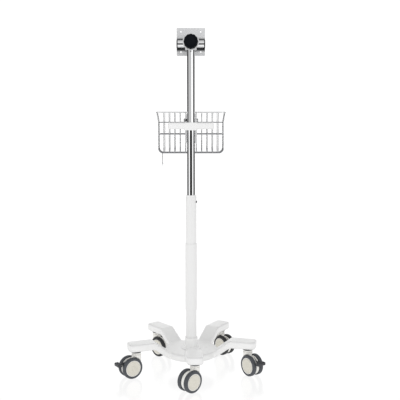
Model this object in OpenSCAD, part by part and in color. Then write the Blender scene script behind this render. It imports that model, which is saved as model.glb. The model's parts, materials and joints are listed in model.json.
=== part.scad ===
// Rolling stand for a patient monitor: a five-armed base on twin-wheel casters, a white
// column with a chrome mast that slides in it, a push handle, a wire basket and a tilting
// plate that the monitor is bolted to. Millimetres, +Z up, floor at z = 0. The monitor and
// the basket are on the +Y side, the handle and the clamp knob on the -Y side.

/* [Base] */
// Height of the arms' underside above the floor
arm_bottom_z = 94; // [90:1:100]
// Thickness of an arm at its outer end
arm_thick = 27; // [24:1:32]
// Width of an arm
arm_width = 57; // [52:1:62]
// Distance from the column axis to an arm's tip
arm_reach = 240; // [234:1:250]
// Distance from the column axis to a caster stem
stem_circle_r = 210; // [206:1:212]
// Height of the hub's underside above the floor
hub_bottom_z = 53; // [50:1:56]
// Thickness of the hub
hub_thick = 26; // [24:1:30]
// Radius of the hub
hub_r = 96; // [92:1:100]
// Turn of the base about the column, from front arm straight ahead
base_turn = 3.3; // [-5:0.1:5]

/* [Column] */
// Outside diameter of the white column
column_d = 38; // [36:1:40]
// Height of the white column's top above the floor
column_top_z = 641; // [620:1:660]
// Outside diameter of the sleeve over the column's joint
sleeve_d = 42; // [40:1:46]
// Height of the sleeve's lower end
sleeve_bottom_z = 222; // [210:1:235]
// Height of the sleeve's upper end
sleeve_top_z = 466; // [440:1:480]
// Outside diameter of the chrome mast
mast_d = 28; // [26:1:30]
// Height of the mast's top above the floor
mast_top_z = 1150; // [1146:1:1152]

/* [Caster] */
// Diameter of a caster wheel
wheel_d = 75; // [72:1:76]
// Width of a caster wheel
wheel_w = 15.5; // [14:0.5:16]
// Gap between the two wheels of a caster
wheel_gap = 15; // [14:0.5:17]
// Distance from the swivel axis back to the axle
caster_trail = 24; // [20:1:26]

/* [Handle and basket] */
// Height of the push handle's middle above the floor
handle_z = 887.5; // [880:0.5:895]
// Length of the push handle
handle_length = 160; // [140:1:180]
// Width of the basket's body
basket_w = 234; // [210:6:270]
// Depth of the basket, from the pole side to the far side
basket_d = 115; // [95:5:130]
// Height of the basket's floor
basket_floor_z = 791; // [785:1:797]
// Height of the basket's rim
basket_rim_z = 935; // [930:1:940]

/* [Monitor plate] */
// Width of the plate
plate_w = 100; // [96:1:110]
// Height of the plate
plate_h = 97; // [90:1:105]
// Thickness of the plate and its side lugs
plate_t = 3; // [2.5:0.5:4]
// Spacing of the four monitor bolts, both ways
bolt_spacing = 70; // [60:1:75]
// Diameter of the holes for the monitor bolts
bolt_hole_d = 5.5; // [4.5:0.1:6.5]
// Height of the tilt axis above the floor
tilt_axis_z = 1171.5; // [1170:0.5:1173]
// Height of the clamp knob's axis above the floor
knob_z = 1178; // [1176:0.5:1179]
// Diameter of the clamp knob
knob_d = 50; // [44:1:54]

/* [Hidden] */

$fn = 64;

// Distance of the column axis behind the middle of the footprint, where the origin is
column_y = 28;
arm_count = 5;
arm_step = 360 / arm_count;

// Order of the arms, counted from the front one, with +X to the right
FRONT = 0;
RIGHT = 1;
REAR_RIGHT = 2;
REAR_LEFT = 3;
LEFT = 4;
// Direction in which each caster trails, measured from +X about +Z
caster_heading = [223, -55, -50, -45, 213];

// Base
wall = 4.5;
arm_top_z = arm_bottom_z + arm_thick;
hub_top_z = hub_bottom_z + hub_thick;
slope_top_start = hub_r + 4;
slope_top_end = slope_top_start + 46;
slope_bottom_start = hub_r - 6;
slope_bottom_end = slope_bottom_start + 58;
arm_tip_r = 14;
// The arms start inside the hub, this far within its faces
arm_root = hub_r - 30;
arm_root_lift = 1;
stem_r = 5.5;
stem_boss_r = 15;
stem_top_z = arm_top_z - 6;
// How far a cutting shape runs past the face that it opens
past = 1;

// Column
column_r = column_d / 2;
column_wall = 2;
column_bore_r = column_r - column_wall;
socket_floor_z = hub_bottom_z + 15;
boss_r = column_r + 2.5;
boss_top_z = arm_bottom_z + 18;
boot_top_z = 119;
boot_lip_r = column_r + 4;
boot_foot_r = 36;
joint_z = 262;
spigot_half = 38;
bush_length = 45;
bush_flange = 5;
lock_screw_z = 617;
lock_screw_angle = -15;
lock_thread_r = 3;
lock_head_t = 2;
hex_socket_r = 1.5;
tip_gap = 0.3;
mast_r = mast_d / 2;
mast_bore_r = mast_r - 1.5;
mast_bottom_z = 440;
slider_length = 14;
slider_plug_length = 24;
running_fit = 0.08;
assembly_fit = 0.3;

// Ballast and centre bolt
ballast_r = hub_r - wall - 9;
ballast_hole_r = boss_r + 2;
ballast_h = hub_thick - wall - 3;
ballast_screw_r = 3;
ballast_screw_circle = 55;
ballast_screw_count = 3;
ballast_z = hub_bottom_z + 2;
screw_head_h = 3;
screw_skin = 1.5;
foot_plug_length = 30;
centre_bolt_r = 5;
bolt_head_r = 9;
bolt_depth = 26;
bolt_pocket_r = boss_r - 8;
washer_r = 12;
washer_t = 2;
bolt_seat_z = socket_floor_z - 6;

// Caster
wheel_r = wheel_d / 2;
axle_r = 4;
rim_r = 29;
rim_groove_w = 2;
rim_groove_depth = 1.5;
tread_r = 3;
hub_recess_r = 12;
hub_recess_depth = 4;
hood_web = wheel_gap - 1.2;
hood_r = 33;
hood_stem_r = 17;
hood_top_z = 81.7;
hood_low_z = 52;
wheel_clearance = 1.5;
stem_depth = 14;
ring_bottom_z = hood_top_z + assembly_fit;
ring_r = 17.5;
axle_half = wheel_gap / 2 + wheel_w - 2;
pedal_pivot = [caster_trail + 11, wheel_r + 18];
pedal_pin_r = 2;
pedal_neck = 6;
pedal_neck_h = 9;
pedal_slot = pedal_neck + 1;
pedal_slot_z = wheel_r + 6;
pedal_reach = 80;
pad_l = 15;
pad_w = 36;
pad_h = 9;
pad_z = pedal_pivot[1] - 6;
pad_corner_r = 5;

// Handle
handle_h = 23;
handle_depth = 26;
handle_front_y = -42;
handle_edge_r = 9;
handle_end_r = 12;
handle_hub_w = 46;
handle_hub_h = 27;
handle_hub_r = 8;
handle_hub_z0 = handle_z - handle_hub_h / 2 - 2;
handle_screw_x = 18.5;
handle_screw_r = 2.5;
handle_screw_front_y = -27;
split_gap = 0.5;

// Basket
wire_r = 1.4;
lean_wire_r = 1.3;
rim_wire_r = 2.4;
wire_pitch = basket_w / 12;
basket_y0 = 28;
basket_y1 = basket_y0 + basket_d;
basket_half = basket_w / 2;
corner_r = 16;
flare = 6;
flare_z = 901;
flare_angle = 10;
ring_corner_r = 10;
weld_offset = 2.2;
ring_heights = [899, 857];
bracket_w = 40;
bracket_y = 16;
bracket_t = 2.5;
bracket_side_t = 2;
bracket_front_y = basket_y0 - wire_r;
bracket_z0 = 825;
bracket_z1 = 930;
lean_gap = 0.6;
clip_z = 907;
clip_w = 52;
clip_h = 12;
clip_t = 2.5;
clip_screw_x = -16;
clip_screw_r = 2.5;
clip_head_r = 4.5;
clip_head_h = 5;
hook_x = -103;
hook_r = 7;
hook_ball_r = 2.2;
hook_end_z = 741;

// Head
bar_r = 12;
bar_pin_r = 5;
plate_y = 30;
plate_z = 1181.5;
lug_r = 14;
block_r = 28.5;
block_front_y = -17;
block_back_y = 17;
block_foot_w = 40;
spigot_length = 36;
set_screw_r = 2.6;
set_screw_z = mast_top_z - 4.7;
set_screw_tip_y = -4.5;
set_screw_fit = 0.15;
stud_r = 4;
knob_lobes = 12;
knob_lobe_r = 6;
knob_depth = 24;
knob_neck_r = 12;
knob_neck_length = 6;
knob_bore_depth = 14;

module at_column() {
    translate([0, column_y, 0]) children();
}

// Arm i runs along +X of the children's frame
module at_arm(i) {
    at_column() rotate([0, 0, base_turn - 90 + arm_step * i]) children();
}

// The caster of arm i trails along +X of the children's frame
module at_caster(i) {
    at_arm(i) translate([stem_circle_r, 0, 0])
        rotate([0, 0, caster_heading[i] - base_turn + 90 - arm_step * i]) children();
}

// A straight round wire from a to b
module rod(a, b, r) {
    d = b - a;
    len = norm(d);
    translate(a) rotate([0, acos(d[2] / len), atan2(d[1], d[0])]) cylinder(h = len, r = r);
}

// A round disc or bar along Y, from y0 to y1
module y_cylinder(r, y0, y1) {
    translate([0, y1, 0]) rotate([90, 0, 0]) cylinder(h = y1 - y0, r = r);
}

// A round bar along X, from x0 to x1
module x_cylinder(r, x0, x1) {
    translate([x0, 0, 0]) rotate([0, 90, 0]) cylinder(h = x1 - x0, r = r);
}

module rounded_rectangle(w, h, r) {
    square([w - 2 * r, h], center = true);
    square([w, h - 2 * r], center = true);
    for (x = [-1, 1], y = [-1, 1])
        translate([x * (w / 2 - r), y * (h / 2 - r)]) circle(r = r);
}

// ---- Base ----

// An arm seen from its side, from its root inside the hub to the tip
module arm_side_outline() {
    polygon([
        [arm_root, hub_bottom_z + arm_root_lift],
        [slope_bottom_start + arm_root_lift, hub_bottom_z + arm_root_lift],
        [slope_bottom_end, arm_bottom_z],
        [arm_reach, arm_bottom_z],
        [arm_reach, arm_top_z],
        [slope_top_end, arm_top_z],
        [slope_top_start, hub_top_z],
        [arm_root, hub_top_z - arm_root_lift]
    ]);
}

// The space below an arm's top skin, seen from its side
module arm_channel_outline() {
    skin_shift = wall / 3;
    polygon([
        [0, 0],
        [arm_reach, 0],
        [arm_reach, arm_top_z - wall],
        [slope_top_end + skin_shift, arm_top_z - wall],
        [slope_top_start + skin_shift, hub_top_z - wall],
        [0, hub_top_z - wall]
    ]);
}

// An arm seen from above, with a rounded tip
module arm_plan_outline(width, reach, tip_r) {
    translate([0, -width / 2]) square([reach - tip_r, width]);
    translate([0, tip_r - width / 2]) square([reach, width - 2 * tip_r]);
    for (side = [-1, 1])
        translate([reach - tip_r, side * (width / 2 - tip_r)]) circle(r = tip_r);
}

module arm() {
    intersection() {
        rotate([90, 0, 0]) linear_extrude(arm_width + 2, center = true) arm_side_outline();
        linear_extrude(arm_top_z + 1) arm_plan_outline(arm_width, arm_reach, arm_tip_r);
    }
}

// The open channel under an arm, which leaves a wall at the top, the sides and the tip
module arm_channel() {
    channel_start = ballast_r + 6;
    channel_width = arm_width - 2 * wall;
    intersection() {
        rotate([90, 0, 0]) linear_extrude(channel_width + 2, center = true)
            arm_channel_outline();
        translate([channel_start, 0, 0]) linear_extrude(arm_top_z)
            arm_plan_outline(channel_width, arm_reach - channel_start - wall,
                             arm_tip_r - wall);
    }
}

module base_casting() {
    color("white") difference() {
        union() {
            difference() {
                union() {
                    at_column() translate([0, 0, hub_bottom_z])
                        cylinder(h = hub_thick, r = hub_r);
                    for (i = [0 : arm_count - 1]) at_arm(i) arm();
                }
                for (i = [0 : arm_count - 1]) at_arm(i) arm_channel();
                at_column() translate([0, 0, hub_bottom_z - 1])
                    cylinder(h = hub_thick - wall + 1, r = ballast_r + 1);
            }
            at_column() translate([0, 0, hub_bottom_z + 1])
                cylinder(h = boss_top_z - hub_bottom_z - 1, r = boss_r);
            for (i = [0 : arm_count - 1]) at_arm(i)
                translate([stem_circle_r, 0, arm_bottom_z])
                    cylinder(h = arm_thick - wall, r = stem_boss_r);
            at_ballast_screws() translate([0, 0, ballast_z + ballast_h])
                cylinder(h = screw_head_h, r = 2 * ballast_screw_r);
        }
        at_column() translate([0, 0, socket_floor_z]) cylinder(h = boss_top_z, r = column_r);
        at_column() cylinder(h = arm_top_z, r = centre_bolt_r + assembly_fit);
        at_column() translate([0, 0, hub_bottom_z - past])
            cylinder(h = bolt_seat_z - hub_bottom_z + past, r = bolt_pocket_r);
        for (i = [0 : arm_count - 1]) at_arm(i)
            translate([stem_circle_r, 0, 0]) cylinder(h = stem_top_z, r = stem_r);
        at_ballast_screws() cylinder(h = hub_top_z - screw_skin, r = ballast_screw_r);
    }
}

module at_ballast_screws() {
    at_column() for (i = [0 : ballast_screw_count - 1])
        rotate([0, 0, 360 / ballast_screw_count * i])
            translate([ballast_screw_circle, 0, 0]) children();
}

module ballast_ring() {
    color("dimgray") difference() {
        at_column() translate([0, 0, ballast_z]) cylinder(h = ballast_h, r = ballast_r);
        at_column() cylinder(h = hub_top_z, r = ballast_hole_r);
        at_ballast_screws() cylinder(h = hub_top_z, r = ballast_screw_r);
    }
}

module ballast_screws() {
    color("gray") at_ballast_screws() {
        translate([0, 0, ballast_z - screw_head_h])
            cylinder(h = screw_head_h, r = 2 * ballast_screw_r);
        translate([0, 0, hub_bottom_z])
            cylinder(h = hub_thick - screw_skin - assembly_fit, r = ballast_screw_r);
    }
}

module column_foot_plug() {
    color("gray") at_column() difference() {
        translate([0, 0, socket_floor_z]) cylinder(h = foot_plug_length, r = column_bore_r);
        cylinder(h = arm_top_z, r = centre_bolt_r);
    }
}

module centre_bolt() {
    color("silver") at_column() {
        translate([0, 0, hub_bottom_z])
            cylinder(h = bolt_seat_z - washer_t - hub_bottom_z, r = bolt_head_r, $fn = 6);
        translate([0, 0, hub_bottom_z + 1])
            cylinder(h = socket_floor_z + bolt_depth - hub_bottom_z, r = centre_bolt_r);
    }
}

module centre_washer() {
    color("silver") at_column() difference() {
        translate([0, 0, bolt_seat_z - washer_t]) cylinder(h = washer_t, r = washer_r);
        cylinder(h = arm_top_z, r = centre_bolt_r);
    }
}

// ---- Column ----

module column_boot() {
    flare_r = boot_foot_r - boot_lip_r;
    color("white") at_column() difference() {
        translate([0, 0, hub_top_z]) rotate_extrude() difference() {
            union() {
                square([boot_lip_r, boot_top_z - hub_top_z]);
                square([boot_foot_r, flare_r]);
            }
            translate([boot_foot_r, flare_r + 2]) circle(r = flare_r);
        }
        cylinder(h = boss_top_z + past, r = boss_r + running_fit);
        cylinder(h = boot_top_z + past, r = column_r);
    }
}

module column_tube(z0, z1) {
    at_column() difference() {
        translate([0, 0, z0]) cylinder(h = z1 - z0, r = column_r);
        translate([0, 0, z0 - past]) cylinder(h = z1 - z0 + 2 * past, r = column_bore_r);
    }
}

module lower_column_tube() {
    color("white") column_tube(socket_floor_z, joint_z);
}

module column_spigot() {
    color("silver") at_column() difference() {
        translate([0, 0, joint_z - spigot_half]) cylinder(h = 2 * spigot_half, r = column_bore_r);
        cylinder(h = column_top_z, r = column_bore_r - 5);
    }
}

module lock_screw_frame() {
    translate([0, 0, lock_screw_z]) rotate([0, 0, lock_screw_angle]) children();
}

module middle_column_tube() {
    color("white") difference() {
        column_tube(joint_z, column_top_z - bush_flange);
        at_column() lock_screw_frame() x_cylinder(lock_thread_r + running_fit, 0, column_r + past);
    }
}

module column_joint_sleeve() {
    color("white") at_column() difference() {
        translate([0, 0, sleeve_bottom_z])
            cylinder(h = sleeve_top_z - sleeve_bottom_z, r = sleeve_d / 2);
        cylinder(h = column_top_z, r = column_r);
    }
}

module mast_guide_bush() {
    color("white") at_column() difference() {
        union() {
            translate([0, 0, column_top_z - bush_length])
                cylinder(h = bush_length, r = column_bore_r);
            translate([0, 0, column_top_z - bush_flange])
                cylinder(h = bush_flange, r = column_r);
        }
        cylinder(h = column_top_z + past, r = mast_r + running_fit);
        lock_screw_frame() x_cylinder(lock_thread_r + running_fit, 0, column_r);
    }
}

// The screw's tip stops just short of the mast
module height_lock_screw() {
    head_x = column_r + tip_gap;
    color("dimgray") at_column() lock_screw_frame() {
        x_cylinder(lock_thread_r, mast_r + tip_gap, head_x + 0.2);
        difference() {
            x_cylinder(lock_thread_r + 1, head_x, head_x + lock_head_t);
            x_cylinder(hex_socket_r, head_x + lock_head_t / 3, head_x + lock_head_t + past, $fn = 6);
        }
    }
}

// ---- Casters ----

module caster_stems() {
    color("silver") for (i = [0 : arm_count - 1]) at_caster(i)
        translate([0, 0, hood_top_z - stem_depth])
            cylinder(h = stem_top_z - hood_top_z + stem_depth, r = stem_r);
}

module swivel_rings() {
    color("dimgray") for (i = [0 : arm_count - 1]) at_caster(i) difference() {
        translate([0, 0, ring_bottom_z]) cylinder(h = arm_bottom_z - ring_bottom_z, r = ring_r);
        cylinder(h = arm_top_z, r = stem_r);
    }
}

// The stem housing sits above the wheels, and a web between them carries the axle
module caster_hood(i, braked) {
    color("ivory") at_caster(i) difference() {
        union() {
            difference() {
                translate([0, 0, hood_low_z])
                    cylinder(h = hood_top_z - hood_low_z, r = hood_stem_r);
                for (side = [0, 1]) mirror([0, side, 0])
                    translate([caster_trail, 0, wheel_r])
                        y_cylinder(wheel_r + wheel_clearance, hood_web / 2, hood_stem_r + past);
            }
            translate([caster_trail, 0, wheel_r])
                y_cylinder(hood_r, -hood_web / 2, hood_web / 2);
        }
        translate([0, 0, hood_top_z - stem_depth - tip_gap])
            cylinder(h = stem_depth + tip_gap + past, r = stem_r + running_fit);
        translate([caster_trail, 0, wheel_r]) y_cylinder(axle_r, -hood_web, hood_web);
        if (braked) {
            translate([caster_trail, -pedal_slot / 2, pedal_slot_z])
                cube([hood_r + past, pedal_slot, hood_r]);
            translate([pedal_pivot[0], 0, pedal_pivot[1]])
                y_cylinder(pedal_pin_r + running_fit, -hood_web, hood_web);
        }
    }
}

module caster_axle(i) {
    color("silver") at_caster(i) translate([caster_trail, 0, wheel_r])
        y_cylinder(axle_r, -axle_half, axle_half);
}

// A wheel seen in half section: its axle hole is blind, so the outer face is closed
module wheel_section() {
    axle_skin = 1.8;
    difference() {
        union() {
            translate([0, tread_r]) square([wheel_r, wheel_w - 2 * tread_r]);
            square([wheel_r - tread_r, wheel_w]);
            for (y = [tread_r, wheel_w - tread_r])
                translate([wheel_r - tread_r, y]) circle(r = tread_r);
        }
        translate([0, -past]) square([axle_r + running_fit, wheel_w - axle_skin + past]);
        translate([hub_recess_r, -past])
            square([rim_r - hub_recess_r - 4, hub_recess_depth + past]);
        translate([rim_r - rim_groove_w - 1, wheel_w - rim_groove_depth])
            square([rim_groove_w, rim_groove_depth + past]);
    }
}

// side is -1 or 1, and the wheel's closed face looks outward
module caster_wheel(i, side) {
    color("slategray") at_caster(i) translate([caster_trail, side * wheel_gap / 2, wheel_r])
        rotate([-90 * side, 0, 0]) rotate_extrude() wheel_section();
}

// The pedal's flat side view, from its pin to the pad
module pedal_neck_outline() {
    pad_start = pedal_reach - pad_l + 2;
    polygon([
        [pedal_pivot[0], pedal_pivot[1] - pedal_neck_h / 2],
        [pad_start, pad_z + 0.5],
        [pad_start, pad_z + pad_h - 0.5],
        [pedal_pivot[0], pedal_pivot[1] + pedal_neck_h / 2]
    ]);
}

module caster_pedal(i) {
    color("dimgray") at_caster(i) {
        rotate([90, 0, 0]) linear_extrude(pedal_neck, center = true) pedal_neck_outline();
        translate([pedal_pivot[0], 0, pedal_pivot[1]]) {
            y_cylinder(pedal_neck_h / 2, -pedal_neck / 2, pedal_neck / 2);
            y_cylinder(pedal_pin_r, -hood_web / 2, hood_web / 2);
        }
        translate([pedal_reach - pad_l / 2, 0, pad_z])
            linear_extrude(pad_h) rounded_rectangle(pad_l, pad_w, pad_corner_r);
    }
}

// ---- Mast ----

module mast_tube() {
    color("lightgray") at_column() difference() {
        translate([0, 0, mast_bottom_z]) cylinder(h = mast_top_z - mast_bottom_z, r = mast_r);
        translate([0, 0, mast_bottom_z - past])
            cylinder(h = mast_top_z - mast_bottom_z + 2 * past, r = mast_bore_r);
        set_screw_hole();
    }
}

// The plug that keeps the mast's lower end in the middle of the column
module mast_slider() {
    color("gray") at_column() {
        translate([0, 0, mast_bottom_z - slider_length])
            cylinder(h = slider_length, r = column_bore_r - running_fit);
        translate([0, 0, mast_bottom_z - 1]) cylinder(h = slider_plug_length, r = mast_bore_r);
    }
}

// A cylinder along Y, from y0 to y1, at each of the two clamp screws beside the mast
module handle_screw_pair(r, y0, y1) {
    for (side = [-1, 1])
        translate([side * handle_screw_x, 0, handle_z]) y_cylinder(r, y0, y1);
}

module handle_grip() {
    hub_depth = -handle_front_y - 2;
    color("white") at_column() difference() {
        union() {
            translate([0, handle_front_y + handle_depth / 2, handle_z]) intersection() {
                rotate([90, 0, 90]) linear_extrude(handle_length, center = true)
                    rounded_rectangle(handle_depth, handle_h, handle_edge_r);
                linear_extrude(handle_h, center = true)
                    rounded_rectangle(handle_length, handle_depth, handle_end_r);
            }
            translate([0, -split_gap, handle_hub_z0])
                linear_extrude(handle_hub_h) intersection() {
                    translate([-handle_hub_w / 2, -hub_depth])
                        square([handle_hub_w, hub_depth]);
                    rounded_rectangle(handle_hub_w, 2 * hub_depth, handle_hub_r);
                }
        }
        cylinder(h = mast_top_z, r = mast_r);
        handle_screw_pair(handle_screw_r, handle_screw_front_y - 1, 1);
    }
}

module handle_clamp_half() {
    color("white") at_column() difference() {
        translate([-handle_hub_w / 2, split_gap, handle_hub_z0])
            cube([handle_hub_w, bracket_y - split_gap, handle_hub_h]);
        cylinder(h = mast_top_z, r = mast_r);
        handle_screw_pair(handle_screw_r, -1, bracket_y + 1);
    }
}

module handle_clamp_screws() {
    head_y = bracket_y + bracket_t;
    color("silver") at_column() {
        handle_screw_pair(handle_screw_r, handle_screw_front_y, head_y + 2);
        handle_screw_pair(2 * handle_screw_r, head_y, head_y + screw_head_h);
    }
}

// ---- Basket ----

// The bracket seen from its side: above the flare its edge leans back with the wires
module bracket_side_outline() {
    lean = (bracket_z1 - flare_z) * tan(flare_angle) + lean_gap;
    polygon([
        [bracket_y, bracket_z0],
        [bracket_front_y, bracket_z0],
        [bracket_front_y, flare_z - 3],
        [bracket_front_y - lean, bracket_z1],
        [bracket_y, bracket_z1]
    ]);
}

module basket_bracket() {
    inner_w = bracket_w - 2 * bracket_side_t;
    color("silver") at_column() difference() {
        rotate([90, 0, 90]) linear_extrude(bracket_w, center = true) bracket_side_outline();
        translate([-inner_w / 2, bracket_y + bracket_t, bracket_z0 - past])
            cube([inner_w, basket_y0, bracket_z1 - bracket_z0 + 2 * past]);
        handle_screw_pair(handle_screw_r + assembly_fit, bracket_y - past, basket_y0);
        handle_screw_pair(2 * handle_screw_r + assembly_fit, bracket_y + bracket_t, basket_y0);
        translate([clip_screw_x, 0, clip_z])
            y_cylinder(clip_screw_r, bracket_y - past, basket_y0);
    }
}

// The strip inside the basket that pinches the wires against the bracket
module basket_clip() {
    color("silver") at_column() difference() {
        translate([-clip_w / 2, basket_y0 + wire_r, clip_z - clip_h / 2])
            cube([clip_w, clip_t, clip_h]);
        translate([clip_screw_x, 0, clip_z])
            y_cylinder(clip_screw_r, basket_y0, basket_y0 + wire_r + clip_t + past);
    }
}

module basket_clip_screw() {
    color("dimgray") at_column() translate([clip_screw_x, 0, clip_z]) {
        y_cylinder(clip_head_r, bracket_y - clip_head_h, bracket_y);
        y_cylinder(clip_screw_r, bracket_y - 1, basket_y0 + wire_r + clip_t + 1.5);
    }
}

module basket_rim() {
    x = basket_half + flare;
    y0 = basket_y0 - flare;
    y1 = basket_y1 + flare;
    color("silver") at_column() translate([0, 0, basket_rim_z]) {
        for (y = [y0, y1]) rod([corner_r - x, y, 0], [x - corner_r, y, 0], rim_wire_r);
        for (side = [-1, 1])
            rod([side * x, y0 + corner_r, 0], [side * x, y1 - corner_r, 0], rim_wire_r);
        for (corner = [[1, y1, 0], [-1, y1, 90], [-1, y0, 180], [1, y0, 270]])
            translate([corner[0] * (x - corner_r),
                       corner[1] + (corner[1] == y1 ? -corner_r : corner_r), 0])
                rotate([0, 0, corner[2]])
                    rotate_extrude(angle = 90) translate([corner_r, 0]) circle(r = rim_wire_r);
    }
}

// An upright wire at x, y, with a thinner wire on top that leans towards the direction out
module upright(x, y, out) {
    lean_length = (basket_rim_z - rim_wire_r - flare_z) / cos(flare_angle);
    translate([x, y, 0]) rotate([0, 0, out]) {
        rod([0, 0, basket_floor_z + corner_r], [0, 0, flare_z + 1], wire_r);
        translate([0, 0, flare_z]) rotate([0, flare_angle, 0])
            cylinder(h = lean_length, r = lean_wire_r);
    }
}

// A long side of the basket at depth y, which faces the direction out, 90 or -90 degrees
module long_side(y, out) {
    ring_half = basket_half - weld_offset - ring_corner_r;
    ring_y = y - sin(out) * weld_offset;
    for (k = [-5 : 5]) upright(k * wire_pitch, y, out);
    for (z = ring_heights) rod([-ring_half, ring_y, z], [ring_half, ring_y, z], wire_r);
}

module basket_pole_side() {
    color("silver") at_column() long_side(basket_y0, -90);
}

module basket_far_side() {
    color("silver") at_column() long_side(basket_y1, 90);
}

// The right-hand end of the basket, with the corners of its rings
module short_end() {
    ring_x = basket_half - weld_offset;
    ring_y0 = basket_y0 + weld_offset + ring_corner_r;
    ring_y1 = basket_y1 - weld_offset - ring_corner_r;
    for (k = [1 : 5]) upright(basket_half, basket_y0 + k * basket_d / 6, 0);
    for (z = ring_heights) {
        rod([ring_x, ring_y0, z], [ring_x, ring_y1, z], wire_r);
        translate([ring_x - ring_corner_r, ring_y1, z])
            rotate_extrude(angle = 90) translate([ring_corner_r, 0]) circle(r = wire_r);
        translate([ring_x - ring_corner_r, ring_y0, z]) rotate([0, 0, -90])
            rotate_extrude(angle = 90) translate([ring_corner_r, 0]) circle(r = wire_r);
    }
}

module basket_left_end() {
    color("silver") at_column() mirror([1, 0, 0]) short_end();
}

module basket_right_end() {
    color("silver") at_column() short_end();
}

// A floor wire of length span along X, with both of its ends turned up to the uprights
module floor_wire(span) {
    half = span / 2 - corner_r;
    rod([-half, 0, 0], [half, 0, 0], wire_r);
    for (side = [-1, 1]) translate([side * half, 0, corner_r])
        rotate([90, 0, 0]) rotate([0, 0, side > 0 ? -90 : 180])
            rotate_extrude(angle = 90) translate([corner_r, 0]) circle(r = wire_r);
}

module basket_floor() {
    middle_y = (basket_y0 + basket_y1) / 2;
    color("silver") at_column() {
        for (k = [-5 : 5]) translate([k * wire_pitch, middle_y, basket_floor_z])
            rotate([0, 0, 90]) floor_wire(basket_d);
        for (k = [1 : 5])
            translate([0, basket_y0 + k * basket_d / 6, basket_floor_z - weld_offset])
                floor_wire(basket_w);
    }
}

// The drip hook below the floor, bent towards the far side, with a ball on its end
module basket_hook() {
    y = basket_y0 + basket_d / 6;
    low_z = hook_end_z + hook_r + wire_r;
    color("silver") at_column() translate([hook_x, y, 0]) {
        rod([0, 0, low_z], [0, 0, basket_floor_z - weld_offset - wire_r], wire_r);
        translate([0, hook_r, low_z]) rotate([90, 0, 90]) rotate([0, 0, 180])
            rotate_extrude(angle = 180) translate([hook_r, 0]) circle(r = wire_r);
        translate([0, 2 * hook_r, low_z]) sphere(r = hook_ball_r);
    }
}

// ---- Head ----

// The hole of the screw that holds the head block in the mast
module set_screw_hole() {
    translate([0, 0, set_screw_z])
        y_cylinder(set_screw_r + set_screw_fit, -mast_r - past, set_screw_tip_y + tip_gap);
}

// The block's round front and back, cut flat where it stands on the mast
module block_disc() {
    intersection() {
        translate([0, 0, knob_z]) y_cylinder(block_r, block_front_y, block_back_y);
        translate([-block_r, block_front_y, mast_top_z])
            cube([2 * block_r, block_back_y - block_front_y, 3 * block_r]);
    }
}

module head_block() {
    color("silver") at_column() difference() {
        union() {
            block_disc();
            translate([-block_foot_w / 2, block_front_y, mast_top_z])
                cube([block_foot_w, block_back_y - block_front_y, knob_z - mast_top_z]);
            translate([0, 0, mast_top_z - spigot_length])
                cylinder(h = spigot_length + 1, r = mast_bore_r - running_fit);
        }
        translate([0, 0, tilt_axis_z])
            x_cylinder(bar_r + running_fit, -block_r - past, block_r + past);
        translate([0, 0, knob_z])
            y_cylinder(stud_r + running_fit, block_front_y - past, -bar_r / 2);
        set_screw_hole();
    }
}

module head_set_screw() {
    color("black") at_column() translate([0, 0, set_screw_z])
        y_cylinder(set_screw_r, -mast_r - 0.6, set_screw_tip_y);
}

module tilt_knob() {
    grip_y0 = block_front_y - knob_depth;
    grip_y1 = block_front_y - knob_neck_length;
    rim_step = 1.5;
    color("black") at_column() translate([0, 0, knob_z]) difference() {
        union() {
            y_cylinder(knob_d / 2 - rim_step, grip_y0, grip_y1);
            y_cylinder(knob_neck_r, grip_y1 - 1, block_front_y - 1);
            for (k = [0 : knob_lobes - 1]) rotate([0, 360 / knob_lobes * k, 0])
                translate([knob_d / 2 - knob_lobe_r, 0, 0])
                    y_cylinder(knob_lobe_r, grip_y0 + rim_step, grip_y1 - rim_step);
        }
        y_cylinder(stud_r, block_front_y - knob_bore_depth, block_front_y);
    }
}

// The stud's end presses on the tilt bar when the knob is tight
module tilt_knob_stud() {
    color("silver") at_column() translate([0, 0, knob_z])
        y_cylinder(stud_r, block_front_y - knob_bore_depth, -bar_r - tip_gap);
}

module tilt_bar() {
    lug_x = plate_w / 2;
    color("lightgray") at_column() translate([0, 0, tilt_axis_z]) {
        x_cylinder(bar_r, plate_t - lug_x, lug_x - plate_t);
        x_cylinder(bar_pin_r, -lug_x, lug_x);
    }
}

module monitor_plate() {
    color("lightgray") at_column() difference() {
        union() {
            translate([-plate_w / 2, plate_y, plate_z - plate_h / 2])
                cube([plate_w, plate_t, plate_h]);
            for (side = [-1, 1])
                translate([side * (plate_w - plate_t) / 2, 0, tilt_axis_z]) {
                    x_cylinder(lug_r, -plate_t / 2, plate_t / 2);
                    translate([-plate_t / 2, 0, -lug_r])
                        cube([plate_t, plate_y + plate_t / 2, 2 * lug_r]);
                }
        }
        translate([0, 0, tilt_axis_z]) x_cylinder(bar_pin_r, -plate_w, plate_w);
        for (x = [-1, 1], z = [-1, 1])
            translate([x * bolt_spacing / 2, 0, plate_z + z * bolt_spacing / 2])
                y_cylinder(bolt_hole_d / 2, plate_y - past, plate_y + plate_t + past);
    }
}

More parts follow.
